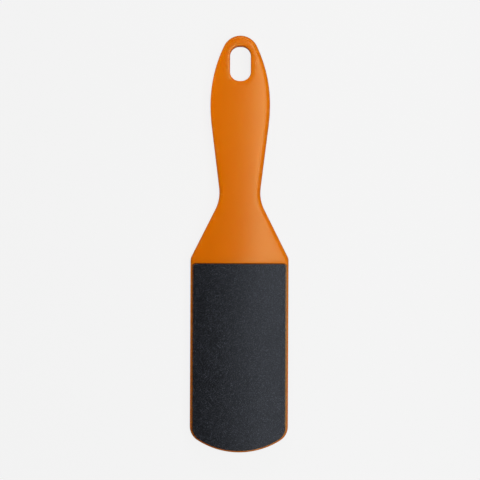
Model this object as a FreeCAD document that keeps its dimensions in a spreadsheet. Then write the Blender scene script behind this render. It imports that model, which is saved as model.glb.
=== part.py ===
import FreeCAD, Part
import collections
import enum
import math
import os

import Sketcher

# Foot file: a one-piece paddle moulding with an abrasive sheet bonded into a shallow seat in each face.
# Frame: it lies on its rear face, +Z is the front face's normal, +Y runs from the blade to the nose of
# the handle, and the origin is below the middle of the part, on the surface that it lies on.

# Driving dimensions in millimetres: alias, value, what it measures.
SIZES = (
    ("total_length", 210.0, "nose of the handle to the end of the blade"),
    ("blade_width", 49.5, "across the blade"),
    ("belly_width", 30.1, "across the handle at its widest"),
    ("neck_width", 20.7, "across the handle at its narrowest"),
    ("nose_radius", 9.2, "round nose of the handle"),
    ("nose_to_belly", 34.7, "nose to the widest place of the handle"),
    ("belly_to_neck", 44.4, "widest place of the handle to its narrowest"),
    ("neck_to_shoulder", 33.2, "narrowest place of the handle to the shoulder corner"),
    ("belly_radius", 88.6, "side of the handle below its widest place"),
    ("neck_radius", 18.9, "hollow on each side of the neck"),
    ("shoulder_radius", 5.0, "shoulder corner"),
    ("end_radius", 39.5, "bowed end of the blade"),
    ("end_corner_radius", 8.25, "corners of the blade's end"),
    ("core_thickness", 8.2, "moulding on its centre line"),
    ("crown_radius", 160.0, "bow of each face across the width"),
    ("edge_radius", 2.0, "rounding of the moulding's edges"),
    ("slot_width", 10.5, "hang slot across the handle"),
    ("slot_length", 17.6, "hang slot along the handle"),
    ("slot_corner_radius", 4.8, "corners of the hang slot"),
    ("nose_to_slot", 5.35, "nose to the near end of the hang slot"),
    ("slot_lip_bevel", 0.55, "bevel of the hang slot's lips"),
    ("shoulder_to_seat", 2.3, "shoulder corner to the step of the seats"),
    ("seat_depth", 0.8, "step of the seats below the crowned faces"),
    ("seat_corner_radius", 3.0, "corners of the step, which run out through the blade's sides"),
    ("seat_overrun", 0.15, "how far the seat's own side lies outside the blade's"),
    ("pad_side_margin", 1.5, "bare margin beside the sheets"),
    ("pad_end_margin", 0.9, "bare margin at the blade's end"),
    ("pad_step_gap", 0.5, "gap between the step and the sheets"),
    ("pad_corner_radius", 1.3, "corners of the sheets next to the step"),
    ("adhesive_thickness", 0.15, "adhesive film under each sheet"),
    ("backing_thickness", 0.45, "paper backing of each sheet"),
    ("front_grit_thickness", 0.4, "coarse grit coat"),
    ("rear_grit_thickness", 0.32, "fine grit coat"),
    ("stock_allowance", 1.0, "stock that is cut away past every finished face"),
    ("rounding_share", 0.46, "most of an edge's wall that one rounding may take"),
)

# Values that follow from the driving dimensions: alias, formula.
DERIVED = (
    ("half_length", "total_length / 2"),
    ("half_blade", "blade_width / 2"),
    ("half_belly", "belly_width / 2"),
    ("neck_centre_reach", "neck_width / 2 + neck_radius"),
    ("crown_centre_depth", "crown_radius - core_thickness / 2"),
    ("crown_drop", "crown_radius - sqrt(crown_radius ^ 2 - half_blade ^ 2)"),
    ("edge_rounding", "min(edge_radius; rounding_share * (core_thickness - 2 * crown_drop))"),
    ("nose_to_slot_end", "nose_to_slot + slot_length"),
    ("half_slot", "slot_width / 2"),
    ("slot_rounding", "min(slot_corner_radius; rounding_share * slot_width)"),
    ("nose_to_step", "nose_to_belly + belly_to_neck + neck_to_shoulder + shoulder_to_seat"),
    ("half_seat", "half_blade + seat_overrun"),
    ("nose_to_seat_end", "total_length + stock_allowance"),
    ("nose_to_pad", "nose_to_step + pad_step_gap"),
    ("half_pad", "half_blade - pad_side_margin"),
    ("pad_end_corner_radius", "end_corner_radius - pad_side_margin"),
    ("pad_end_radius", "end_radius - pad_end_margin"),
    ("nose_to_pad_end", "total_length - pad_end_margin"),
    ("seat_floor", "crown_radius - seat_depth"),
    ("adhesive_top", "seat_floor + adhesive_thickness"),
    ("backing_top", "adhesive_top + backing_thickness"),
    ("front_grit_top", "backing_top + front_grit_thickness"),
    ("rear_grit_top", "backing_top + rear_grit_thickness"),
    ("half_stock", "max(front_grit_top; rear_grit_top) - crown_centre_depth + stock_allowance"),
    ("stock_thickness", "2 * half_stock"),
    ("stock_reach", "half_blade + 2 * stock_allowance"),
    ("stock_span", "2 * stock_reach"),
    ("mid_height", "max(rear_grit_top; crown_radius) - crown_centre_depth"),
)

# Point numbers of a line or arc, counted from 1.
START, END, CENTRE = enum.IntEnum("PointNumber", "START END CENTRE")


class Axis(enum.IntEnum):
    """Numbers of a sketch's own axes."""
    LEVEL = -1
    UPRIGHT = -2


ORIGIN = (Axis.LEVEL, START)

# An edge of a sketch, with the point numbers of its two ends in the order of the outline.
Edge = collections.namedtuple("Edge", "number first last")

# Lengths in millimetres that differ by less than this count as the same.
SAME = 0.001

doc = FreeCAD.newDocument("FootFile")
sheet = doc.addObject("Spreadsheet::Sheet", "Sizes")


def fill_sheet():
    rows = [(alias, str(value), meaning) for alias, value, meaning in SIZES]
    rows += [(alias, "=" + formula, "follows from the sizes above") for alias, formula in DERIVED]
    for row, (alias, content, meaning) in enumerate(rows, start=1):
        sheet.set(f"A{row}", meaning)
        sheet.set(f"B{row}", content)
        sheet.setAlias(f"B{row}", alias)
    doc.recompute()


def size(alias):
    return float(getattr(sheet, alias))


def from_cell(item, target, alias):
    """Bind one property of a document object to a cell of the sheet."""
    item.setExpression(target, f"Sizes.{alias}")


# Sketch helpers

def new_sketch(body, name, plane):
    sketch = body.newObject("Sketcher::SketchObject", name)
    sketch.AttachmentSupport = [(origin_plane(body, plane), "")]
    sketch.MapMode = "FlatFace"
    return sketch


def origin_plane(body, role):
    return next(feature for feature in body.Origin.OriginFeatures if feature.Role == role)


def vector(point):
    return FreeCAD.Vector(point[0], point[1], 0)


def add_line(sketch, start, end):
    number = sketch.addGeometry(Part.LineSegment(vector(start), vector(end)))
    return Edge(number, START, END)


def add_arc(sketch, centre, start, end, clockwise=True):
    """Arc round a centre. Arcs are stored anticlockwise, so a clockwise one swaps its ends."""
    radius = (vector(start) - vector(centre)).Length
    begin, finish = (end, start) if clockwise else (start, end)
    first_angle = math.atan2(begin[1] - centre[1], begin[0] - centre[0])
    last_angle = math.atan2(finish[1] - centre[1], finish[0] - centre[0])
    if last_angle < first_angle:
        last_angle += 2 * math.pi
    circle = Part.Circle(vector(centre), FreeCAD.Vector(0, 0, 1), radius)
    number = sketch.addGeometry(Part.ArcOfCircle(circle, first_angle, last_angle))
    return Edge(number, END, START) if clockwise else Edge(number, START, END)


def constrain(sketch, kind, *places):
    sketch.addConstraint(Sketcher.Constraint(kind, *places))


def dimension(sketch, alias, kind, *places):
    """Dimension whose value comes from the sheet."""
    number = sketch.addConstraint(Sketcher.Constraint(kind, *places, size(alias)))
    from_cell(sketch, f"Constraints[{number}]", alias)


def first_end(edge):
    return edge.number, edge.first


def last_end(edge):
    return edge.number, edge.last


def centre_of(edge):
    return edge.number, CENTRE


def join_smoothly(sketch, *edges):
    for edge, following in zip(edges, edges[1:]):
        constrain(sketch, "Tangent", *last_end(edge), *first_end(following))


def close_on_axis(sketch, top_edge, bottom_edge):
    """Line down the centre of the part that closes a right-hand half outline."""
    top = sketch.getPoint(*first_end(top_edge))
    bottom = sketch.getPoint(*last_end(bottom_edge))
    spine = add_line(sketch, bottom, top)
    constrain(sketch, "Coincident", *last_end(bottom_edge), *first_end(spine))
    constrain(sketch, "Coincident", *last_end(spine), *first_end(top_edge))
    constrain(sketch, "PointOnObject", *first_end(spine), Axis.UPRIGHT)
    constrain(sketch, "PointOnObject", *last_end(spine), Axis.UPRIGHT)


def unit(angle):
    return FreeCAD.Vector(math.cos(angle), math.sin(angle), 0)


# Plan outlines, each drawn as its right-hand half

def bowed_end(reach, end_centre, end_radius, corner_radius):
    """Centre of the corner arc beside a bowed end, and where that arc meets the bow."""
    drop = math.sqrt((end_radius - corner_radius) ** 2 - (reach - corner_radius) ** 2)
    corner_centre = vector((reach - corner_radius, end_centre[1] - drop))
    outward = (corner_centre - vector(end_centre)).normalize()
    return corner_centre, corner_centre + outward * corner_radius


def paddle_outline(body):
    """Half outline of the moulding: nose, belly, neck, flared shoulder, blade side and bowed end."""
    sketch = new_sketch(body, "paddle_outline", "XY_Plane")
    top = size("half_length")
    reach = size("half_blade")
    belly_y = top - size("nose_to_belly")
    neck_y = belly_y - size("belly_to_neck")
    shoulder = vector((reach, neck_y - size("neck_to_shoulder")))

    nose_radius = size("nose_radius")
    nose_centre = vector((0, top - nose_radius))
    belly = vector((size("half_belly"), belly_y))
    nose_reach = (belly - nose_centre).Length
    side_radius = (nose_reach ** 2 - nose_radius ** 2) / (2 * (belly.x - nose_radius))
    side_centre = vector((belly.x - side_radius, belly_y))
    nose_end = nose_centre + (nose_centre - side_centre).normalize() * nose_radius

    belly_centre = vector((belly.x - size("belly_radius"), belly_y))
    neck_centre = vector((size("neck_centre_reach"), neck_y))
    across = neck_centre - belly_centre
    taper_angle = math.atan2(across.y, across.x)
    taper_angle += math.acos((size("belly_radius") + size("neck_radius")) / across.Length)
    taper_start = belly_centre + unit(taper_angle) * size("belly_radius")
    taper_end = neck_centre - unit(taper_angle) * size("neck_radius")

    to_neck = neck_centre - shoulder
    flare_angle = math.atan2(to_neck.y, to_neck.x) - math.acos(size("neck_radius") / to_neck.Length)
    flare_start = neck_centre - unit(flare_angle) * size("neck_radius")
    setback = size("shoulder_radius") * math.tan(flare_angle / 2)
    flare_end = shoulder + (flare_start - shoulder).normalize() * setback
    side_start = vector((reach, shoulder.y - setback))
    shoulder_centre = vector((reach - size("shoulder_radius"), side_start.y))

    end_centre = vector((0, size("end_radius") - top))
    corner_centre, corner_end = bowed_end(reach, end_centre, size("end_radius"), size("end_corner_radius"))
    side_end = vector((reach, corner_centre.y))

    nose = add_arc(sketch, nose_centre, (0, top), nose_end)
    upper_side = add_arc(sketch, side_centre, nose_end, belly)
    lower_side = add_arc(sketch, belly_centre, belly, taper_start)
    taper = add_line(sketch, taper_start, taper_end)
    neck = add_arc(sketch, neck_centre, taper_end, flare_start, clockwise=False)
    flare = add_line(sketch, flare_start, flare_end)
    corner = add_arc(sketch, shoulder_centre, flare_end, side_start)
    blade_side = add_line(sketch, side_start, side_end)
    end_corner = add_arc(sketch, corner_centre, side_end, corner_end)
    blade_end = add_arc(sketch, end_centre, corner_end, (0, -top))
    join_smoothly(sketch, nose, upper_side, lower_side, taper, neck, flare,
                  corner, blade_side, end_corner, blade_end)
    close_on_axis(sketch, nose, blade_end)

    constrain(sketch, "PointOnObject", *centre_of(nose), Axis.UPRIGHT)
    constrain(sketch, "PointOnObject", *centre_of(blade_end), Axis.UPRIGHT)
    constrain(sketch, "Horizontal", *centre_of(upper_side), *last_end(upper_side))
    constrain(sketch, "Vertical", blade_side.number)
    dimension(sketch, "half_length", "DistanceY", *ORIGIN, *first_end(nose))
    dimension(sketch, "total_length", "DistanceY", *last_end(blade_end), *first_end(nose))
    dimension(sketch, "nose_radius", "Radius", nose.number)
    dimension(sketch, "half_belly", "DistanceX", *ORIGIN, *last_end(upper_side))
    dimension(sketch, "nose_to_belly", "DistanceY", *last_end(upper_side), *first_end(nose))
    dimension(sketch, "belly_radius", "Radius", lower_side.number)
    dimension(sketch, "neck_radius", "Radius", neck.number)
    dimension(sketch, "neck_centre_reach", "DistanceX", *ORIGIN, *centre_of(neck))
    dimension(sketch, "belly_to_neck", "DistanceY", *centre_of(neck), *last_end(upper_side))
    dimension(sketch, "half_blade", "DistanceX", *ORIGIN, *first_end(blade_side))
    dimension(sketch, "shoulder_radius", "Radius", corner.number)
    dimension(sketch, "end_corner_radius", "Radius", end_corner.number)
    dimension(sketch, "end_radius", "Radius", blade_end.number)

    shoulder_point = sketch.addGeometry(Part.Point(shoulder), True)
    constrain(sketch, "PointOnObject", shoulder_point, START, flare.number)
    constrain(sketch, "PointOnObject", shoulder_point, START, blade_side.number)
    dimension(sketch, "neck_to_shoulder", "DistanceY", shoulder_point, START, *centre_of(neck))
    return sketch


def pad_outline(body):
    """Half outline of a sheet: square to the step, its far end following the blade's."""
    sketch = new_sketch(body, "pad_outline", "XY_Plane")
    nose_y = size("half_length")
    top = nose_y - size("nose_to_pad")
    reach = size("half_pad")
    rounding = size("pad_corner_radius")
    end_y = nose_y - size("nose_to_pad_end")
    end_radius = size("pad_end_radius")
    end_centre = vector((0, end_y + end_radius))
    corner_centre, corner_end = bowed_end(reach, end_centre, end_radius, size("pad_end_corner_radius"))
    inner, high = reach - rounding, top - rounding

    head = add_line(sketch, (0, top), (inner, top))
    corner = add_arc(sketch, (inner, high), (inner, top), (reach, high))
    side = add_line(sketch, (reach, high), (reach, corner_centre.y))
    end_corner = add_arc(sketch, corner_centre, (reach, corner_centre.y), corner_end)
    end = add_arc(sketch, end_centre, corner_end, (0, end_y))
    join_smoothly(sketch, head, corner, side, end_corner, end)
    close_on_axis(sketch, head, end)

    constrain(sketch, "Horizontal", head.number)
    constrain(sketch, "Vertical", side.number)
    constrain(sketch, "PointOnObject", *centre_of(end), Axis.UPRIGHT)
    nose_point = nose_marker(sketch)
    dimension(sketch, "nose_to_pad", "DistanceY", *first_end(head), nose_point, START)
    dimension(sketch, "nose_to_pad_end", "DistanceY", *last_end(end), nose_point, START)
    dimension(sketch, "half_pad", "DistanceX", *ORIGIN, *first_end(side))
    dimension(sketch, "pad_corner_radius", "Radius", corner.number)
    dimension(sketch, "pad_end_corner_radius", "Radius", end_corner.number)
    dimension(sketch, "pad_end_radius", "Radius", end.number)
    return sketch


def seat_outline(body):
    """Half outline of a seat: rounded at the step, open past the blade's sides and end."""
    sketch = new_sketch(body, "seat_outline", "XY_Plane")
    nose_y = size("half_length")
    top = nose_y - size("nose_to_step")
    bottom = nose_y - size("nose_to_seat_end")
    reach = size("half_seat")
    rounding = size("seat_corner_radius")
    inner, high = reach - rounding, top - rounding

    step = add_line(sketch, (0, top), (inner, top))
    corner = add_arc(sketch, (inner, high), (inner, top), (reach, high))
    side = add_line(sketch, (reach, high), (reach, bottom))
    far_end = add_line(sketch, (reach, bottom), (0, bottom))
    join_smoothly(sketch, step, corner, side)
    constrain(sketch, "Coincident", *last_end(side), *first_end(far_end))
    close_on_axis(sketch, step, far_end)

    constrain(sketch, "Horizontal", step.number)
    constrain(sketch, "Vertical", side.number)
    constrain(sketch, "Horizontal", far_end.number)
    nose_point = nose_marker(sketch)
    dimension(sketch, "nose_to_step", "DistanceY", *first_end(step), nose_point, START)
    dimension(sketch, "nose_to_seat_end", "DistanceY", *last_end(far_end), nose_point, START)
    dimension(sketch, "half_seat", "DistanceX", *ORIGIN, *first_end(side))
    dimension(sketch, "seat_corner_radius", "Radius", corner.number)
    return sketch


def nose_marker(sketch):
    """Construction point at the nose of the handle, from which lengths are measured."""
    point = sketch.addGeometry(Part.Point(vector((0, size("half_length")))), True)
    constrain(sketch, "PointOnObject", point, START, Axis.UPRIGHT)
    dimension(sketch, "half_length", "DistanceY", *ORIGIN, point, START)
    return point


def slot_outline(body):
    """Whole outline of the hang slot, a rectangle with large round corners."""
    sketch = new_sketch(body, "slot_outline", "XY_Plane")
    reach = size("half_slot")
    top = size("half_length") - size("nose_to_slot")
    bottom = size("half_length") - size("nose_to_slot_end")
    rounding = size("slot_rounding")
    inner = reach - rounding
    high, low = top - rounding, bottom + rounding

    head = add_line(sketch, (-inner, top), (inner, top))
    head_right = add_arc(sketch, (inner, high), (inner, top), (reach, high))
    right = add_line(sketch, (reach, high), (reach, low))
    foot_right = add_arc(sketch, (inner, low), (reach, low), (inner, bottom))
    foot = add_line(sketch, (inner, bottom), (-inner, bottom))
    foot_left = add_arc(sketch, (-inner, low), (-inner, bottom), (-reach, low))
    left = add_line(sketch, (-reach, low), (-reach, high))
    head_left = add_arc(sketch, (-inner, high), (-reach, high), (-inner, top))
    join_smoothly(sketch, head, head_right, right, foot_right, foot, foot_left, left, head_left, head)

    for level in (head, foot):
        constrain(sketch, "Horizontal", level.number)
    for upright in (right, left):
        constrain(sketch, "Vertical", upright.number)
    for corner in (foot_right, foot_left, head_left):
        constrain(sketch, "Equal", head_right.number, corner.number)
    dimension(sketch, "slot_rounding", "Radius", head_right.number)
    dimension(sketch, "half_slot", "DistanceX", *ORIGIN, *first_end(right))
    dimension(sketch, "slot_width", "DistanceX", *first_end(left), *first_end(right))
    nose_point = nose_marker(sketch)
    dimension(sketch, "nose_to_slot", "DistanceY", *last_end(head), nose_point, START)
    dimension(sketch, "nose_to_slot_end", "DistanceY", *first_end(foot), nose_point, START)
    return sketch


# Crowned plates

def new_body(label):
    """Body that is drawn about the middle plane of the part."""
    body = doc.addObject("PartDesign::Body", label)
    body.Label = label
    return body


def new_sub_part(label):
    """Body that is lifted until the part lies on the ground plane."""
    body = new_body(label)
    from_cell(body, "Placement.Base.z", "mid_height")
    return body


def mirrored_stock(body, outline):
    """Flat stock about the middle plane, from a half outline and its mirror image."""
    pad = body.newObject("PartDesign::Pad", "stock")
    pad.Profile = outline
    pad.SideType = "Symmetric"
    from_cell(pad, "Length", "stock_thickness")
    mirror = body.newObject("PartDesign::Mirrored", "both_sides")
    mirror.Originals = [pad]
    mirror.MirrorPlane = (origin_plane(body, "YZ_Plane"), [""])
    body.Tip = mirror
    doc.recompute()


def cut_through(body, sketch, name):
    """Pocket through the whole body both ways, which has to remove some of it."""
    volume = body.Shape.Volume
    pocket = body.newObject("PartDesign::Pocket", name)
    pocket.Profile = sketch
    pocket.Type = "ThroughAll"
    pocket.SideType = "Symmetric"
    doc.recompute()
    if not body.Shape.Volume < volume:
        raise RuntimeError(f"{body.Label}: {name} cuts nothing")
    return pocket


def cut_to_crown(body, name, face, radius_cell, keep):
    """Trim a body to one bowed face.

    The bow is an arc in the section across the part, concentric with the crown of the front face
    (face 1) or of the rear face (face -1). Stock outside the arc goes when keep is "inside", and
    stock inside it when keep is "outside".
    """
    sketch = new_sketch(body, f"{name}_section", "XZ_Plane")
    reach = size("stock_reach")
    radius = size(radius_cell)
    centre = (0, -face * size("crown_centre_depth"))
    height = centre[1] + face * math.sqrt(radius ** 2 - reach ** 2)
    side = face if keep == "inside" else -face
    far = side * size("half_stock")
    arc = add_arc(sketch, centre, (-reach, height), (reach, height), clockwise=face > 0)
    right = add_line(sketch, (reach, height), (reach, far))
    level = add_line(sketch, (reach, far), (-reach, far))
    left = add_line(sketch, (-reach, far), (-reach, height))
    for edge, following in ((arc, right), (right, level), (level, left), (left, arc)):
        constrain(sketch, "Coincident", *last_end(edge), *first_end(following))
    constrain(sketch, "Vertical", right.number)
    constrain(sketch, "Vertical", left.number)
    constrain(sketch, "Horizontal", level.number)
    constrain(sketch, "PointOnObject", *centre_of(arc), Axis.UPRIGHT)
    dimension(sketch, radius_cell, "Radius", arc.number)
    dimension(sketch, "stock_reach", "DistanceX", *ORIGIN, *first_end(right))
    dimension(sketch, "stock_span", "DistanceX", *last_end(left), *first_end(right))
    upward(sketch, "crown_centre_depth", centre_of(arc), -face)
    upward(sketch, "half_stock", first_end(level), side)
    cut_through(body, sketch, name)


def upward(sketch, alias, point, sign):
    """Height of a point above (sign 1) or below (sign -1) the middle plane."""
    places = (*ORIGIN, *point) if sign > 0 else (*point, *ORIGIN)
    dimension(sketch, alias, "DistanceY", *places)


def dress_edges(body, name, kind, size_property, alias, wanted):
    """Fillet or chamfer on those edges of the body's last feature that the test picks."""
    base = body.Tip
    picked = [f"Edge{number}" for number, edge in enumerate(base.Shape.Edges, start=1) if wanted(edge)]
    dressing = body.newObject(f"PartDesign::{kind}", name)
    dressing.Base = (base, picked)
    from_cell(dressing, size_property, alias)
    doc.recompute()


def is_upright(edge):
    """True for the straight edges between two side walls."""
    box = edge.BoundBox
    return max(box.XLength, box.YLength) < SAME


# Sub-parts

def seat_cutter(label, face):
    """What is cut from the moulding for one sheet, in the moulding's own coordinates."""
    body = new_body(label)
    mirrored_stock(body, seat_outline(body))
    cut_to_crown(body, "floor", face, "seat_floor", keep="outside")
    return body


def paddle_base():
    body = new_sub_part("paddle_base")
    mirrored_stock(body, paddle_outline(body))
    cut_to_crown(body, "front_crown", 1, "crown_radius", keep="inside")
    cut_to_crown(body, "rear_crown", -1, "crown_radius", keep="inside")
    dress_edges(body, "edges", "Fillet", "Radius", "edge_rounding", lambda edge: not is_upright(edge))
    cut_through(body, slot_outline(body), "hang_slot")
    dress_edges(body, "slot_lips", "Chamfer", "Size", "slot_lip_bevel", is_slot_lip)
    seats = body.newObject("PartDesign::Boolean", "seats")
    seats.Type = "Cut"
    seats.Group = [seat_cutter("front_seat_cutter", 1), seat_cutter("rear_seat_cutter", -1)]
    body.Tip = seats
    return body


def is_slot_lip(edge):
    """True for the edges where the hang slot meets a crowned face."""
    box = edge.BoundBox
    top = size("half_length") - size("nose_to_slot")
    bottom = size("half_length") - size("nose_to_slot_end")
    across_slot = max(-box.XMin, box.XMax) < size("half_slot") + SAME
    along_slot = box.YMax < top + SAME and box.YMin > bottom - SAME
    return across_slot and along_slot and not is_upright(edge)


def sheet_layer(label, face, floor_cell, top_cell):
    """One layer of a bonded sheet, an even shell between two concentric bows."""
    body = new_sub_part(label)
    mirrored_stock(body, pad_outline(body))
    cut_to_crown(body, "top", face, top_cell, keep="inside")
    cut_to_crown(body, "floor", face, floor_cell, keep="outside")
    return body


def build():
    fill_sheet()
    sub_parts = [paddle_base()]
    for side, face in (("front", 1), ("rear", -1)):
        sub_parts.append(sheet_layer(f"{side}_adhesive", face, "seat_floor", "adhesive_top"))
        sub_parts.append(sheet_layer(f"{side}_backing", face, "adhesive_top", "backing_top"))
        sub_parts.append(sheet_layer(f"{side}_grit", face, "backing_top", f"{side}_grit_top"))
    doc.recompute()
    return sub_parts


def check(sub_parts):
    for item in doc.Objects:
        if "Invalid" in item.State or "Error" in item.State:
            raise RuntimeError(f"{item.Label} failed: {item.State}")
    for item in sub_parts:
        if item.Shape.isNull() or not item.Shape.isValid() or len(item.Shape.Solids) != 1:
            raise RuntimeError(f"{item.Label} is not one valid solid")


def export(sub_parts):
    os.makedirs("parts", exist_ok=True)
    for item in sub_parts:
        item.Shape.exportStep(f"parts/{item.Label}.step")
        box = item.Shape.BoundBox
        print(f"{item.Label}: {item.Shape.Volume:.1f} mm3, {box.XLength:.2f} by {box.YLength:.2f} mm, "
              f"from {box.ZMin:.2f} to {box.ZMax:.2f} mm high")


parts = build()
check(parts)
export(parts)
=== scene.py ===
import cmath
import math

import bpy
import numpy as np
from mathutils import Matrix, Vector, geometry


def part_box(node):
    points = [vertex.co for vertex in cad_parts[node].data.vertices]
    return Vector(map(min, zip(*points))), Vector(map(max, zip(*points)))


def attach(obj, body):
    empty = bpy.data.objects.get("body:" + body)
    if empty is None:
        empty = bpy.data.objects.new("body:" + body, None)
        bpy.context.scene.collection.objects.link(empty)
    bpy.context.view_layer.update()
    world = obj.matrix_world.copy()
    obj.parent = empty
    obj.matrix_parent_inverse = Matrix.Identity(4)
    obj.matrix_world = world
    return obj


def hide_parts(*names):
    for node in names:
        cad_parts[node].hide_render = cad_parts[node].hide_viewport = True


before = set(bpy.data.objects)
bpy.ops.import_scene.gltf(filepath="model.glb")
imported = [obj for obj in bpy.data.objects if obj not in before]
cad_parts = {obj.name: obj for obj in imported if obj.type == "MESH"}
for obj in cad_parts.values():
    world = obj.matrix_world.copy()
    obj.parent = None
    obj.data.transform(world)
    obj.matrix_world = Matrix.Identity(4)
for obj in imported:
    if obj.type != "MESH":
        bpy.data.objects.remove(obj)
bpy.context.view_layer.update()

# Foot file: a satin orange paddle with a grit sheet bonded into each face of its blade.
# Lengths are in millimetres until a mesh is made, but the floor and the lamps are in metres.
# Points of the plan are complex numbers, x + y * 1j.

MM = 0.001


def box_in_mm(node):
    low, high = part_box(node)
    return low / MM, high / MM


# Sizes that the frame gives
base_low, base_high = box_in_mm("paddle_base")
pad_low, pad_high = box_in_mm("front_grit")
TOP = base_high.y
HALF_BLADE = base_high.x
HALF_PAD = pad_high.x
CORE = base_high.z - base_low.z
MID_HEIGHT = (base_high.z + base_low.z) / 2

# Plan of the moulding and of the sheets
NOSE_RADIUS = 9.2
NOSE_TO_BELLY = 34.7
BELLY_WIDTH = 30.1
BELLY_RADIUS = 88.6
BELLY_TO_NECK = 44.4
NECK_WIDTH = 20.7
NECK_RADIUS = 18.9
NECK_TO_SHOULDER = 33.2
SHOULDER_RADIUS = 5.0
END_RADIUS = 39.5
END_CORNER_RADIUS = 8.25
SLOT_WIDTH = 10.5
SLOT_LENGTH = 17.6
SLOT_CORNER_RADIUS = 4.8
NOSE_TO_SLOT = 5.35
SEAT_CLEARANCE = 0.5
SEAT_STEP = pad_high.y + SEAT_CLEARANCE
SEAT_CORNER_RADIUS = 3.0
SEAT_OVERRUN = 0.15
SEAT_REACH = HALF_BLADE + SEAT_OVERRUN
PAD_CORNER_RADIUS = 1.3

# Section of the moulding
CROWN_RADIUS = 160.0
CROWN_DEPTH = CROWN_RADIUS - CORE / 2
EDGE_RADIUS = 2.0
LIP_RADIUS = 0.6
SEAT_DEPTH = 0.8
STEP_DRAFT = 0.22
ROLL_OFF_SHARE = 0.5
ROLL_OFF_REACH = 5.0
PARTING_RIDGE = 0.03
PARTING_HALF_WIDTH = 0.1
RIM_REACH = 1.5 * EDGE_RADIUS

# Sheets
GRAIN_RISE = {"front": 0.2, "rear": 0.16}
GRAIN_SPACING = {"front": 0.38, "rear": 0.34}
GRAIN_RADIUS = {"front": (0.16, 0.27), "rear": (0.12, 0.2)}
GRIT_RAGGEDNESS = 0.12
PAPER_RAGGEDNESS = 0.05
FILM_SETBACK = 0.25

# Grains, whose top and height are shares of the radius
GRAIN_TOP_SHARE = 0.6
GRAIN_HEIGHT_SHARE = 0.5
GRAIN_TILT = math.radians(16)
DARKEST_TONE = 0.06
LEAST_OUTWARD_RISE = 0.5
MOST_GRAINS_PER_SQUARE_METRE = 4e7

# Fineness of the meshes
POINT_SPACING = 0.7
GRID_SPACING = 2.2
ROUNDING_STEPS = 5
LIP_STEPS = 3
STEP_LINES = 6
ROLL_OFF_LINES = 14
SHARP_ANGLE = math.radians(60)
WHOLE_HULL = 0
WELD_DISTANCE = 1e-5


# Plan outlines

def arc(centre, radius, first, last):
    """Points along an arc from one angle to another."""
    count = math.ceil(abs(last - first) * radius / POINT_SPACING) + 2
    return [centre + cmath.rect(radius, angle) for angle in np.linspace(first, last, count)]


def mirrored(half):
    """The other half of a line, in reverse order."""
    return [-point.conjugate() for point in reversed(half)]


def closely(corners):
    """Evenly close points along the straight runs between corners, without the last corner."""
    points = []
    for start, end in zip(corners, corners[1:]):
        count = math.ceil(abs(end - start) / POINT_SPACING)
        points += [start + (end - start) * share / count for share in range(count)]
    return points


def closed_loop(right_half):
    """Both halves of an outline that starts and ends on the centre line."""
    return np.array(closely(right_half + mirrored(right_half)[1:]))


def bowed_end(reach, end_y, end_radius, corner_radius):
    """Right half of a blade's bowed end: the corner, then the bow to the centre line."""
    end_centre = 1j * (end_y + end_radius)
    drop = math.sqrt((end_radius - corner_radius) ** 2 - (reach - corner_radius) ** 2)
    corner_centre = reach - corner_radius + end_centre - 1j * drop
    meeting = cmath.phase(corner_centre - end_centre)
    return (arc(corner_centre, corner_radius, 0, meeting)
            + arc(end_centre, end_radius, meeting, -math.pi / 2))


def paddle_outline():
    """The moulding: nose, belly, neck, flared shoulder, blade side and bowed end."""
    nose_centre = 1j * (TOP - NOSE_RADIUS)
    belly = BELLY_WIDTH / 2 + 1j * (TOP - NOSE_TO_BELLY)
    side_radius = abs(belly - nose_centre) ** 2 - NOSE_RADIUS ** 2
    side_radius /= 2 * (belly.real - NOSE_RADIUS)
    side_centre = belly - side_radius
    nose_angle = cmath.phase(nose_centre - side_centre)

    belly_centre = belly - BELLY_RADIUS
    neck_centre = NECK_WIDTH / 2 + NECK_RADIUS + 1j * (belly.imag - BELLY_TO_NECK)
    across = neck_centre - belly_centre
    taper_angle = cmath.phase(across) + math.acos((BELLY_RADIUS + NECK_RADIUS) / abs(across))

    shoulder = HALF_BLADE + 1j * (neck_centre.imag - NECK_TO_SHOULDER)
    to_neck = neck_centre - shoulder
    flare_angle = cmath.phase(to_neck) - math.acos(NECK_RADIUS / abs(to_neck))
    setback = SHOULDER_RADIUS * math.tan(flare_angle / 2)
    shoulder_centre = shoulder - SHOULDER_RADIUS - 1j * setback

    return closed_loop(
        arc(nose_centre, NOSE_RADIUS, math.pi / 2, nose_angle)
        + arc(side_centre, side_radius, nose_angle, 0)
        + arc(belly_centre, BELLY_RADIUS, 0, taper_angle)
        + arc(neck_centre, NECK_RADIUS, taper_angle + math.pi, flare_angle + math.pi)
        + arc(shoulder_centre, SHOULDER_RADIUS, flare_angle, 0)
        + bowed_end(HALF_BLADE, base_low.y, END_RADIUS, END_CORNER_RADIUS))


def slot_outline():
    """The hang slot, a rectangle with large round corners."""
    centre = 1j * (TOP - NOSE_TO_SLOT - SLOT_LENGTH / 2)
    inner = SLOT_WIDTH / 2 - SLOT_CORNER_RADIUS
    rise = 1j * (SLOT_LENGTH / 2 - SLOT_CORNER_RADIUS)
    right_half = ([centre + rise + 1j * SLOT_CORNER_RADIUS]
                  + arc(centre + inner + rise, SLOT_CORNER_RADIUS, math.pi / 2, 0)
                  + arc(centre + inner - rise, SLOT_CORNER_RADIUS, 0, -math.pi / 2)
                  + [centre - rise - 1j * SLOT_CORNER_RADIUS])
    return closed_loop(right_half)


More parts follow.
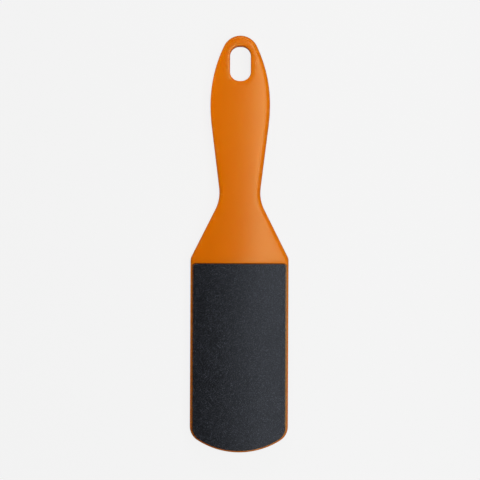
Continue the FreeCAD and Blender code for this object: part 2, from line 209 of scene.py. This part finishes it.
def pad_outline():
    """A sheet: square to the step of its seat, its far end following the blade's."""
    corner = HALF_PAD - PAD_CORNER_RADIUS + 1j * (pad_high.y - PAD_CORNER_RADIUS)
    margin = HALF_BLADE - HALF_PAD
    end_margin = pad_low.y - base_low.y
    return closed_loop(
        [1j * pad_high.y]
        + arc(corner, PAD_CORNER_RADIUS, math.pi / 2, 0)
        + bowed_end(HALF_PAD, pad_low.y, END_RADIUS - end_margin, END_CORNER_RADIUS - margin))


def step_line(inset):
    """The step of a seat, or a line that lies that far inside it, from side to side of the blade."""
    radius = SEAT_CORNER_RADIUS - inset
    corner = SEAT_REACH - SEAT_CORNER_RADIUS + 1j * (SEAT_STEP - SEAT_CORNER_RADIUS)
    right_half = [1j * (corner.imag + radius)] + arc(corner, radius, math.pi / 2, 0)
    whole = mirrored(right_half) + right_half[1:]
    return np.array(closely(whole) + whole[-1:])


def inward(loop):
    """Unit vectors into a clockwise loop, one for each of its points."""
    along = np.roll(loop, -1) - np.roll(loop, 1)
    return -1j * along / abs(along)


def distance(points, loop):
    """How far each point is from a closed loop."""
    nearest = np.full(len(points), np.inf)
    for start, end in zip(loop, np.roll(loop, -1)):
        along = end - start
        share = np.clip(((points - start) * along.conjugate()).real / abs(along) ** 2, 0, 1)
        nearest = np.minimum(nearest, abs(points - start - share * along))
    return nearest


def within(points, loop):
    """Which points lie inside a closed loop, by counting the edges to their right."""
    found = np.zeros(len(points), bool)
    for start, end in zip(loop, np.roll(loop, -1)):
        beside = (start.imag > points.imag) != (end.imag > points.imag)
        if beside.any():
            rise = (points.imag - start.imag) / (end.imag - start.imag)
            found ^= beside & (points.real < start.real + rise * (end.real - start.real))
    return found


# Plates: closed meshes between two height fields over one plan

def plan_mesh(outline, hole=None, rings=(), lines=()):
    """Triangles over a plan region: its points and its faces, which run anticlockwise."""
    loops = [outline, *rings]
    if hole is not None:
        loops.append(hole)
    points, edges = [], []
    for loop in loops:
        first = len(points)
        points += list(loop)
        edges += [(first + i, first + (i + 1) % len(loop)) for i in range(len(loop))]
    for line in lines:
        first = len(points)
        points += list(line)
        edges += [(first + i, first + i + 1) for i in range(len(line) - 1)]
    points += list(inner_grid(np.array(points), outline, hole))

    flat = [Vector((point.real, point.imag)) for point in points]
    found = geometry.delaunay_2d_cdt(flat, edges, [], WHOLE_HULL, WELD_DISTANCE)
    plan = np.array([complex(*point) for point in found[0]])
    faces = np.array(found[2])
    middles = plan[faces].mean(axis=1)
    kept = within(middles, outline)
    if hole is not None:
        kept &= ~within(middles, hole)
    faces = faces[kept]
    used, numbers = np.unique(faces, return_inverse=True)
    return plan[used], numbers.reshape(faces.shape)


def inner_grid(taken, outline, hole):
    """Staggered points inside a plan region, none of them close to a point that is taken."""
    rows = np.arange(outline.imag.min(), outline.imag.max(), GRID_SPACING * math.sqrt(3) / 2)
    reach = outline.real.max()
    columns = np.arange(-reach, reach, GRID_SPACING)
    grid = np.array([column + GRID_SPACING / 2 * (number % 2) + 1j * row
                     for number, row in enumerate(rows) for column in columns])
    grid = grid[within(grid, outline)]
    if hole is not None:
        grid = grid[~within(grid, hole)]
    clear = [abs(taken - point).min() > GRID_SPACING / 2 for point in grid]
    return grid[clear]


def plate(name, plan, faces, top, bottom, wall_rows=()):
    """Closed mesh of a plan's faces at two heights, with walls round every edge of the plan.

    Each row of the walls has a height and stands out from the plan's edge by some length.
    """
    count = len(plan)
    sides = {(a, b) for face in faces for a, b in zip(face, np.roll(face, -1))}
    border = [(a, b) for a, b in sides if (b, a) not in sides]
    following = dict(border)
    outward = {b: side_normal(plan[a], plan[b], plan[following[b]]) for a, b in border}

    vertices = [(p.real, p.imag, z) for p, z in zip(plan, top)]
    vertices += [(p.real, p.imag, z) for p, z in zip(plan, bottom)]
    levels = [{v: v for v in following}]
    for height, proud in wall_rows:
        levels.append({v: len(vertices) + i for i, v in enumerate(following)})
        for v in following:
            point = plan[v] + outward[v] * proud
            vertices.append((point.real, point.imag, height))
    levels.append({v: v + count for v in following})

    polygons = [tuple(face) for face in faces]
    polygons += [tuple(count + v for v in reversed(face)) for face in faces]
    for upper, lower in zip(levels, levels[1:]):
        polygons += [(upper[a], lower[a], lower[b], upper[b]) for a, b in border]

    mesh = bpy.data.meshes.new(name)
    mesh.from_pydata([(x * MM, y * MM, z * MM) for x, y, z in vertices], [], polygons)
    mesh.shade_smooth()
    mesh.set_sharp_from_angle(angle=SHARP_ANGLE)
    return mesh


def side_normal(before, point, after):
    """Unit vector out of a region whose edge runs through three points, anticlockwise round it."""
    along = (point - before) / abs(point - before) + (after - point) / abs(after - point)
    return -1j * along / abs(along)


# Sections

def crown(plan, radius):
    """Height of a crowned face above the middle of the moulding."""
    return np.sqrt(radius ** 2 - plan.real ** 2) - CROWN_DEPTH


def rounded(reach, radius):
    """Drop of a rounded edge at some distance inside it."""
    left = np.clip(radius - reach, 0, radius)
    return radius - np.sqrt(radius ** 2 - left ** 2)


def past_step(plan):
    """How far each point lies inside a seat, from the top of its step; less than 0 on the handle's side."""
    beyond_x = abs(plan.real) - (SEAT_REACH - SEAT_CORNER_RADIUS)
    beyond_y = plan.imag - (SEAT_STEP - SEAT_CORNER_RADIUS)
    round_corner = np.hypot(np.maximum(beyond_x, 0), np.maximum(beyond_y, 0))
    return SEAT_CORNER_RADIUS - round_corner - np.minimum(np.maximum(beyond_x, beyond_y), 0)


def seated(plan, height):
    """Height of a face that rolls off towards the step, goes down it and lies in the seat."""
    inside = past_step(plan)
    above = np.maximum(height - crown(plan, CROWN_RADIUS - SEAT_DEPTH), 0)
    near = np.clip(1 + inside / ROLL_OFF_REACH, 0, 1)
    down = np.clip(inside / STEP_DRAFT, 0, 1)
    down = down * down * (3 - 2 * down)
    return height - above * (1 - (1 - ROLL_OFF_SHARE * near ** 3) * (1 - down))


# Node graphs

# Sockets of a colour Mix node and of a Random Value node
MIX_SHARE = 0
MIX_FIRST = 6
MIX_SECOND = 7
MIX_RESULT = 2
RANDOM_LEAST = 2
RANDOM_GREATEST = 3
RANDOM_NUMBER = 1


class Value:
    """Output of a node that can be used in arithmetic, which adds Math nodes."""

    def __init__(self, graph, socket):
        self.graph = graph
        self.socket = socket

    def math(self, operation, first, second):
        return self.graph.node("ShaderNodeMath", {"operation": operation}, {0: first, 1: second})

    def __add__(self, other):
        return self.math("ADD", self, other)

    def __rsub__(self, other):
        return self.math("SUBTRACT", other, self)

    def __mul__(self, other):
        return self.math("MULTIPLY", self, other)

    def __pow__(self, other):
        return self.math("POWER", self, other)

    __radd__ = __add__


class Graph:
    """A node tree under construction."""

    def __init__(self, tree):
        self.tree = tree
        tree.nodes.clear()

    def node(self, kind, settings=None, sockets=None, output=0):
        """Adds a node, sets it up, feeds its sockets with values or links, and gives one of its outputs."""
        made = self.tree.nodes.new(kind)
        for name, value in (settings or {}).items():
            setattr(made, name, value)
        for name, value in (sockets or {}).items():
            if isinstance(value, Value):
                self.tree.links.new(value.socket, made.inputs[name])
            else:
                made.inputs[name].default_value = value
        return Value(self, made.outputs[output]) if made.outputs else made


class Finish(Graph):
    """A procedural material under construction, on Object coordinates."""

    def __init__(self, name):
        self.material = bpy.data.materials.new(name)
        self.material.use_nodes = True
        super().__init__(self.material.node_tree)
        self.place = self.node("ShaderNodeTexCoord", output="Object")

    def noise(self, grain, detail=2.0, roughness=0.5, stretch=(1, 1, 1)):
        """Noise whose blobs are about one grain across, in millimetres."""
        place = self.node("ShaderNodeMapping", {}, {"Vector": self.place, "Scale": stretch})
        return self.node("ShaderNodeTexNoise", {}, {
            "Vector": place, "Scale": 1 / (grain * MM), "Detail": detail, "Roughness": roughness})

    def attribute(self, name):
        return self.node("ShaderNodeAttribute", {"attribute_name": name}, output="Fac")

    def span(self, value, low, high, to_low=0.0, to_high=1.0):
        """A value brought from one range to another, and held inside it."""
        return self.node("ShaderNodeMapRange", {"clamp": True}, {
            "Value": value, "From Min": low, "From Max": high, "To Min": to_low, "To Max": to_high})

    def mix(self, share, first, second):
        """Colour between two others."""
        return self.node("ShaderNodeMix", {"data_type": "RGBA"}, {
            MIX_SHARE: share, MIX_FIRST: first, MIX_SECOND: second}, output=MIX_RESULT)

    def bump(self, height, depth):
        """Normal of a surface that rises by the height times the depth, in millimetres."""
        return self.node("ShaderNodeBump", {}, {
            "Height": height, "Distance": depth * MM, "Strength": 1.0})

    def surface(self, sockets):
        shader = self.node("ShaderNodeBsdfPrincipled", {}, sockets)
        self.node("ShaderNodeOutputMaterial", {}, {"Surface": shader})
        return self.material


# Materials

def colour(red, green, blue):
    return (red, green, blue, 1.0)


def satin_plastic():
    """Slightly translucent orange plastic with faint flow marks, a spark-eroded satin,
    scuffed edges, and filed dust round the sheets which is also painted shade in that recess."""
    finish = Finish("orange_moulding")
    flow = finish.noise(26.0, detail=3.0, stretch=(1, 0.35, 1))
    speck = finish.noise(0.5, detail=1.0)
    satin = finish.noise(0.32, detail=3.0, roughness=0.6)
    rim = finish.attribute("rim")
    scuff = rim * finish.span(finish.noise(3.5, detail=2.0), 0.5, 0.72)
    tone = finish.mix(finish.span(flow, 0.35, 0.65),
                      colour(0.82, 0.18, 0.0003), colour(0.86, 0.196, 0.0006))
    tone = finish.mix(finish.span(speck, 0.3, 0.7, 0.0, 0.12), tone, colour(0.78, 0.16, 0.0003))
    tone = finish.mix(scuff * 0.06, tone, colour(0.93, 0.5, 0.16))
    # Dark brown filed dust in the seat, which also stands in for painted shade in the recess beside the
    # sheets.
    dust = finish.attribute("dust") * finish.span(finish.noise(0.8, detail=3.0), 0.3, 0.6, 0.7, 0.92)
    tone = finish.mix(dust, tone, colour(0.13, 0.056, 0.024))
    return finish.surface({
        "Base Color": tone,
        "Roughness": 0.2 + satin * 0.08 + scuff * 0.12,
        "Normal": finish.bump(satin + flow * 12.0, 0.003),
        "IOR": 1.5,
        "Specular IOR Level": 0.3,
        "Specular Tint": colour(0.92, 1.0, 0.5),
        "Subsurface Weight": 0.2,
        "Subsurface Radius": (1.0, 0.28, 0.05),
        "Subsurface Scale": 11.0 * MM,
    })


def grit(name, resin, dull, bright):
    """Mineral grains, each with a tone of its own, in a dark size coat; the brightest grains are partly
    painted glints.
    """
    finish = Finish(name)
    tone = finish.attribute("grain_tone")
    haze = finish.noise(14.0, detail=3.0)
    dust = finish.noise(0.25, detail=2.0)
    # Grains run from dull to bright at random; the rare bright ones are partly painted glints in place of
    # sparkle.
    grain = finish.mix(tone ** 4.0, dull, bright)
    coat = finish.mix(finish.span(dust, 0.35, 0.7), resin, dull)
    shown = finish.mix(finish.span(tone, 0.0, 0.05), coat, grain)
    shown = finish.mix(finish.span(haze, 0.35, 0.7, 0.0, 0.012), shown, bright)
    return finish.surface({
        "Base Color": shown,
        "Roughness": 0.34 - tone * 0.12 + dust * 0.08,
        "Normal": finish.bump(dust, 0.05),
        "IOR": 1.55,
        "Specular IOR Level": 0.24,
        "Specular Tint": colour(0.8, 0.87, 1.0),
    })


def backing_paper():
    """Heavy resin-soaked paper, whose cut edge shows its fibres."""
    finish = Finish("dark_paper")
    fibre = finish.noise(0.12, detail=4.0, roughness=0.7, stretch=(0.3, 0.3, 1.6))
    stain = finish.noise(5.0, detail=3.0)
    tone = finish.mix(finish.span(fibre, 0.3, 0.7), colour(0.03, 0.026, 0.024), colour(0.1, 0.085, 0.075))
    tone = finish.mix(finish.span(stain, 0.3, 0.7, 0.0, 0.4), tone, colour(0.045, 0.042, 0.045))
    return finish.surface({
        "Base Color": tone,
        "Roughness": 0.75 + fibre * 0.15,
        "Normal": finish.bump(fibre, 0.04),
    })


def adhesive_film():
    """Amber pressure-sensitive film with trapped bubbles."""
    finish = Finish("amber_film")
    bubble = finish.noise(0.6, detail=2.0)
    tone = finish.mix(finish.span(bubble, 0.35, 0.65), colour(0.5, 0.33, 0.13), colour(0.66, 0.5, 0.27))
    return finish.surface({
        "Base Color": tone,
        "Roughness": 0.3 + bubble * 0.2,
        "Normal": finish.bump(bubble, 0.02),
        "Subsurface Weight": 0.4,
        "Subsurface Radius": (1.0, 0.6, 0.3),
        "Subsurface Scale": 0.8 * MM,
    })


# Grit, by Geometry Nodes

def grit_tree(name, material):
    """Tree that beds grains in the outer face of a size coat."""
    tree = bpy.data.node_groups.new(name, "GeometryNodeTree")
    graph = Graph(tree)
    tree.interface.new_socket("Geometry", in_out="INPUT", socket_type="NodeSocketGeometry")
    for label in ("Facing", "Spacing", "Least Radius", "Greatest Radius"):
        tree.interface.new_socket(label, in_out="INPUT", socket_type="NodeSocketFloat")
    tree.interface.new_socket("Seed", in_out="INPUT", socket_type="NodeSocketInt")
    tree.interface.new_socket("Geometry", in_out="OUTPUT", socket_type="NodeSocketGeometry")

    def given(label):
        return graph.node("NodeGroupInput", output=label)

    facing_euler = graph.node("ShaderNodeCombineXYZ", {}, {"X": (1 - given("Facing")) * (math.pi / 2)})
    normal = graph.node("GeometryNodeInputNormal")
    rise = graph.node("ShaderNodeSeparateXYZ", {}, {0: normal}, output="Z")
    outwards = graph.node("FunctionNodeCompare", {"operation": "GREATER_THAN"}, {
        "A": rise * given("Facing"), "B": LEAST_OUTWARD_RISE})
    outer_face = graph.node("GeometryNodeSeparateGeometry", {"domain": "FACE"}, {
        "Geometry": given("Geometry"), "Selection": outwards})
    points = graph.node("GeometryNodeDistributePointsOnFaces", {"distribute_method": "POISSON"}, {
        "Mesh": outer_face, "Distance Min": given("Spacing"),
        "Density Max": MOST_GRAINS_PER_SQUARE_METRE, "Seed": given("Seed")})

    crystal = graph.node("GeometryNodeMeshCone", {}, {
        "Vertices": 3, "Radius Top": GRAIN_TOP_SHARE, "Radius Bottom": 1.0,
        "Depth": GRAIN_HEIGHT_SHARE})
    crystal = graph.node("GeometryNodeSetShadeSmooth", {}, {"Geometry": crystal, "Shade Smooth": False})
    turn = graph.node("FunctionNodeRandomValue", {"data_type": "FLOAT_VECTOR"}, {
        "Min": (-GRAIN_TILT, -GRAIN_TILT, 0), "Max": (GRAIN_TILT, GRAIN_TILT, math.tau),
        "Seed": given("Seed") + 1})
    least = graph.node("ShaderNodeCombineXYZ", {}, {axis: given("Least Radius") for axis in "XYZ"})
    greatest = graph.node("ShaderNodeCombineXYZ", {}, {axis: given("Greatest Radius") for axis in "XYZ"})
    scale = graph.node("FunctionNodeRandomValue", {"data_type": "FLOAT_VECTOR"}, {
        "Min": least, "Max": greatest, "Seed": given("Seed") + 2})
    tilt = graph.node("FunctionNodeEulerToRotation", {}, {"Euler": turn})
    upright = graph.node("FunctionNodeEulerToRotation", {}, {"Euler": facing_euler})
    rotation = graph.node("FunctionNodeRotateRotation", {"rotation_space": "GLOBAL"}, {
        "Rotation": tilt, "Rotate By": upright})
    grains = graph.node("GeometryNodeInstanceOnPoints", {}, {
        "Points": points, "Instance": crystal, "Rotation": rotation, "Scale": scale})
    tone = graph.node("FunctionNodeRandomValue", {"data_type": "FLOAT"}, {
        RANDOM_LEAST: DARKEST_TONE, RANDOM_GREATEST: 1.0, "Seed": given("Seed") + 3}, output=RANDOM_NUMBER)
    grains = graph.node("GeometryNodeStoreNamedAttribute", {"data_type": "FLOAT", "domain": "INSTANCE"}, {
        "Geometry": grains, "Name": "grain_tone", "Value": tone})

    joined = tree.nodes.new("GeometryNodeJoinGeometry")
    for part in (grains, given("Geometry")):
        tree.links.new(part.socket, joined.inputs[0])
    real = graph.node("GeometryNodeRealizeInstances", {}, {"Geometry": Value(graph, joined.outputs[0])})
    real = graph.node("GeometryNodeSetMaterial", {}, {"Geometry": real, "Material": material})
    graph.node("NodeGroupOutput", {}, {0: real})
    return tree


def with_grains(coat, tree, inputs):
    """Plain mesh of what a grit tree makes of a size coat."""
    bed = bpy.data.objects.new("grit_bed", coat)
    bpy.context.scene.collection.objects.link(bed)
    modifier = bed.modifiers.new("grit", "NODES")
    modifier.node_group = tree
    for item in tree.interface.items_tree:
        if item.in_out == "INPUT" and item.name in inputs:
            modifier[item.identifier] = inputs[item.name]
    evaluated = bed.evaluated_get(bpy.context.evaluated_depsgraph_get())
    mesh = bpy.data.meshes.new_from_object(evaluated)
    bpy.data.objects.remove(bed)
    return mesh


# Pieces

def place_piece(name, mesh, material, node):
    """Puts a finished mesh in the scene in place of a node of the frame."""
    mesh.name = name
    mesh.materials.clear()
    mesh.materials.append(material)
    piece = bpy.data.objects.new(name, mesh)
    bpy.context.scene.collection.objects.link(piece)
    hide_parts(node)
    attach(piece, "root")


def paddle_moulding():
    outline = paddle_outline()
    outline = outline + inward(outline) * PARTING_RIDGE
    slot = slot_outline()
    crease = math.acos(1 - SEAT_DEPTH / EDGE_RADIUS)
    turns = np.concatenate([np.linspace(0, crease, ROUNDING_STEPS),
                            np.linspace(crease, math.pi / 2, ROUNDING_STEPS)[1:-1]])
    rings = [outline + inward(outline) * EDGE_RADIUS * (1 - math.sin(turn)) for turn in turns]
    for turn in np.linspace(0, math.pi / 2, LIP_STEPS, endpoint=False):
        rings.append(slot - inward(slot) * LIP_RADIUS * (1 - math.sin(turn)))
    lines = [step_line(inset) for inset in np.linspace(0, STEP_DRAFT, STEP_LINES)]
    lines += [step_line(-ROLL_OFF_REACH * share ** 2) for share in np.linspace(0, 1, ROLL_OFF_LINES)[1:]]
    plan, faces = plan_mesh(outline, slot, rings, lines)

    to_edge = distance(plan, outline)
    height = crown(plan, CROWN_RADIUS)
    height -= rounded(to_edge, EDGE_RADIUS) + rounded(distance(plan, slot), LIP_RADIUS)
    height = seated(plan, height)
    ridge = ((MID_HEIGHT + PARTING_HALF_WIDTH, 0), (MID_HEIGHT, PARTING_RIDGE),
             (MID_HEIGHT - PARTING_HALF_WIDTH, 0))
    mesh = plate("paddle_moulding", plan, faces, MID_HEIGHT + height, MID_HEIGHT - height, ridge)
    rim = np.ones(len(mesh.vertices), np.float32)
    rim[:2 * len(plan)] = np.tile(np.clip(1 - to_edge / RIM_REACH, 0, 1), 2)
    # Seat floor beside the sheets: filed dust there, which also paints the shade that falls in that recess.
    seat_edge = EDGE_RADIUS * (1 - math.sin(crease))
    seat_dust_and_shade = np.clip(past_step(plan) / STEP_DRAFT, 0, 1) * np.clip(to_edge / seat_edge - 1, 0, 1)
    dust = np.zeros(len(mesh.vertices), np.float32)
    dust[:2 * len(plan)] = np.tile(seat_dust_and_shade, 2)
    for name, values in (("rim", rim), ("dust", dust)):
        mesh.attributes.new(name, "FLOAT", "POINT").data.foreach_set("value", values)
    place_piece("paddle_moulding", mesh, satin_plastic(), "paddle_base")


def ragged(loop, depth, chance):
    """A loop that is nibbled inwards by up to some depth."""
    return loop + inward(loop) * depth * chance.random(len(loop))


def sheet_layer(name, outline, face, inner, outer):
    """One layer of a sheet, between two bows that are concentric with the crown."""
    plan, faces = plan_mesh(outline)
    levels = sorted((MID_HEIGHT + face * crown(plan, radius) for radius in (inner, outer)), key=np.sum)
    return plate(name, plan, faces, top=levels[1], bottom=levels[0])


def bow_radius(node, face):
    """Radius of the outer bow of a layer in the frame."""
    low, high = box_in_mm(node)
    return CROWN_DEPTH + (high.z - MID_HEIGHT if face > 0 else MID_HEIGHT - low.z)


def bonded_sheet(side, face, seed, film, paper, grains):
    """Adhesive film, paper backing and grit coat of the sheet on one face."""
    outline = pad_outline()
    chance = np.random.default_rng(seed)
    seat_floor = CROWN_RADIUS - SEAT_DEPTH
    film_top, paper_top, grit_top = (bow_radius(f"{side}_{layer}", face)
                                     for layer in ("adhesive", "backing", "grit"))
    mesh = sheet_layer("film", ragged(outline, FILM_SETBACK, chance), face, seat_floor, film_top)
    place_piece(f"{side}_film", mesh, film, f"{side}_adhesive")
    mesh = sheet_layer("paper", ragged(outline, PAPER_RAGGEDNESS, chance), face, film_top, paper_top)
    place_piece(f"{side}_paper", mesh, paper, f"{side}_backing")

    coat = sheet_layer("coat", ragged(outline, GRIT_RAGGEDNESS, chance), face, paper_top,
                       grit_top - GRAIN_RISE[side])
    least, greatest = GRAIN_RADIUS[side]
    mesh = with_grains(coat, grit_tree(f"{side}_grit", grains), {
        "Facing": float(face), "Spacing": GRAIN_SPACING[side] * MM, "Least Radius": least * MM,
        "Greatest Radius": greatest * MM, "Seed": seed})
    place_piece(f"{side}_grains", mesh, grains, f"{side}_grit")


# Studio, with lengths in metres

FLOOR_REACH = 4.0
FLOOR_GREY = 0.35
FLOOR_GLOW = 1.12
FLOOR_GLOW_SHARE = 0.85
SKY_LIGHT = 0.04
PALE = 0.905


def floor():
    """Pale floor that the camera sees nearly evenly lit, with the part's shadow on it."""
    mesh = bpy.data.meshes.new("floor")
    corners = ((-1, -1), (1, -1), (1, 1), (-1, 1))
    mesh.from_pydata([(x * FLOOR_REACH, y * FLOOR_REACH, 0) for x, y in corners], [], [(0, 1, 2, 3)])
    finish = Finish("floor")
    seen = (finish.node("ShaderNodeLightPath", output="Is Camera Ray")
            + finish.node("ShaderNodeLightPath", output="Is Transmission Ray"))
    lit = finish.node("ShaderNodeBsdfDiffuse", {}, {"Color": colour(FLOOR_GREY, FLOOR_GREY, FLOOR_GREY)})
    shown = finish.node("ShaderNodeEmission", {}, {
        "Color": colour(PALE, PALE, PALE), "Strength": FLOOR_GLOW})
    surface = finish.node("ShaderNodeMixShader", {}, {0: seen * FLOOR_GLOW_SHARE, 1: lit, 2: shown})
    finish.node("ShaderNodeOutputMaterial", {}, {"Surface": surface})
    mesh.materials.append(finish.material)
    plane = bpy.data.objects.new("floor", mesh)
    bpy.context.scene.collection.objects.link(plane)
    return plane


def sky():
    """Dim even light all round, which the camera sees as the same pale tone as the floor."""
    world = bpy.data.worlds.new("sky")
    world.use_nodes = True
    bpy.context.scene.world = world
    graph = Graph(world.node_tree)
    seen = graph.node("ShaderNodeLightPath", output="Is Camera Ray")
    dim = graph.node("ShaderNodeBackground", {}, {"Color": colour(1, 1, 1), "Strength": SKY_LIGHT})
    pale = graph.node("ShaderNodeBackground", {}, {"Color": colour(PALE, PALE, PALE), "Strength": 1.0})
    shown = graph.node("ShaderNodeMixShader", {}, {0: seen, 1: dim, 2: pale})
    graph.node("ShaderNodeOutputWorld", {}, {"Surface": shown})


def softbox(name, azimuth, elevation, length, height, power, standoff=1.0):
    """Rectangular lamp that faces the part, from a direction in degrees and a distance in metres."""
    lamp = bpy.data.lights.new(name, "AREA")
    lamp.shape = "RECTANGLE"
    lamp.size = length
    lamp.size_y = height
    lamp.energy = power
    level = cmath.rect(math.cos(math.radians(elevation)), math.radians(azimuth))
    direction = Vector((level.real, level.imag, math.sin(math.radians(elevation))))
    holder = bpy.data.objects.new(name, lamp)
    holder.location = direction * standoff
    holder.rotation_euler = direction.to_track_quat("Z", "Y").to_euler()
    holder.visible_camera = False
    bpy.context.scene.collection.objects.link(holder)
    return holder


def edge_light(plane):
    """Low strip beside the left edge of the handle, which makes no glints and leaves the floor unlit."""
    strip = softbox("left_edge", azimuth=140, elevation=4, length=0.1, height=0.012,
                    power=0.04, standoff=0.12)
    strip.visible_glossy = False
    unlit = bpy.data.collections.new("unlit_by_strip")
    unlit.objects.link(plane)
    unlit.collection_objects[0].light_linking.link_state = "EXCLUDE"
    strip.light_linking.receiver_collection = unlit


# Camera, above the part, in millimetres again
FRAME_WIDTH = 242.2
CAMERA_HEIGHT = 1200.0
FRAME_CENTRE = Vector((0.18, 2.03, 0))
ROLL = math.radians(0.255)


def camera():
    lens = bpy.data.cameras.new("camera")
    lens.lens = lens.sensor_width * (CAMERA_HEIGHT - MID_HEIGHT) / FRAME_WIDTH
    holder = bpy.data.objects.new("camera", lens)
    holder.location = (FRAME_CENTRE + Vector((0, 0, CAMERA_HEIGHT))) * MM
    holder.rotation_euler = (0, 0, ROLL)
    bpy.context.scene.collection.objects.link(holder)
    bpy.context.scene.camera = holder


paddle_moulding()
film, paper = adhesive_film(), backing_paper()
# Colour of the lightest grains: partly their own tone, partly painted glints standing in for the grains'
# sparkle.
lightest_grain_and_painted_glint = colour(0.186, 0.201, 0.247)
coarse = grit("coarse_grains", colour(0.005, 0.0053, 0.0066), colour(0.006, 0.0066, 0.0082), lightest_grain_and_painted_glint)
fine = grit("fine_grains", colour(0.006, 0.0064, 0.008), colour(0.007, 0.0077, 0.0095), lightest_grain_and_painted_glint)
bonded_sheet("front", face=1, seed=11, film=film, paper=paper, grains=coarse)
bonded_sheet("rear", face=-1, seed=23, film=film, paper=paper, grains=fine)
ground = floor()
sky()
softbox("right_key", azimuth=0, elevation=60, length=0.8, height=0.06, power=0.35, standoff=0.2)
softbox("nose_key", azimuth=90, elevation=30, length=0.8, height=0.25, power=2.9)
softbox("sheen", azimuth=-8, elevation=79, length=0.8, height=0.2, power=3.6)
edge_light(ground)
camera()

bpy.context.scene.view_settings.view_transform = "Standard"
